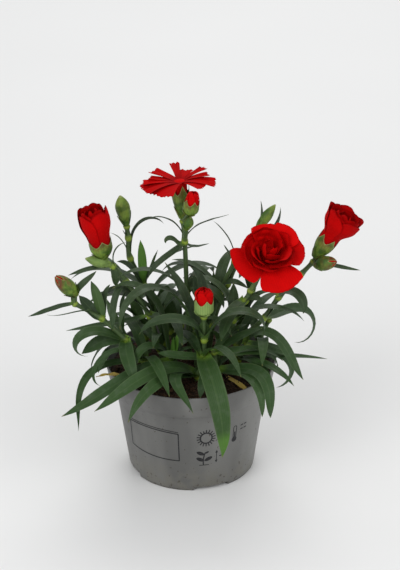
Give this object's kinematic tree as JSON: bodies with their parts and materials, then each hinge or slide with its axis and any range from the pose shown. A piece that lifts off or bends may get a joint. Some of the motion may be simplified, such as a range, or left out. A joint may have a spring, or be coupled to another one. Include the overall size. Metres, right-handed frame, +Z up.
{
  "type": "potted dianthus plant",
  "caption": "Bushy dianthus with narrow arching leaves, red blooms and closed buds on jointed stems, growing in a round tapered nursery pot filled with soil.",
  "frame": {"origin": "centre of the pot's flat underside, on the surface that the pot stands on", "axes": "+Z up along the pot's axis, -Y the plant's front, +X to the right seen from the front"},
  "size_m": [0.2003, 0.1278, 0.1898],
  "materials": {
    "pot_plastic": "satin",
    "soil": "matte",
    "foliage": "satin",
    "petals": "matte",
    "withered": "matte"
  },
  "bodies": {
    "root": {"pot": "pot_plastic", "soil": "soil", "stem_front_bud": "foliage", "petals_front_bud": "petals", "shoot_left_front": "foliage", "shoot_right_front": "foliage", "shoot_right_low": "foliage", "stem_left_bud": "foliage", "petals_left_bud": "petals", "stem_left_flower": "foliage", "petals_left_flower": "petals", "stem_double_flower": "foliage", "petals_double_flower": "petals", "stem_right_flower": "foliage", "petals_right_flower": "petals", "petals_right_bud": "petals", "stem_green_bud": "foliage", "stem_top_flower": "foliage", "petals_top_flower": "petals", "petals_top_bud": "petals", "stem_back_bud": "foliage", "shoot_left": "foliage", "shoot_centre": "foliage", "shoot_back": "foliage", "shoot_back_left": "foliage", "shoot_back_middle": "foliage", "shoot_back_right": "foliage", "shoot_far_left": "foliage", "shoot_far_right": "foliage", "withered_leaf_right": "withered", "withered_leaf_left": "withered"}
  },
  "joints": []
}
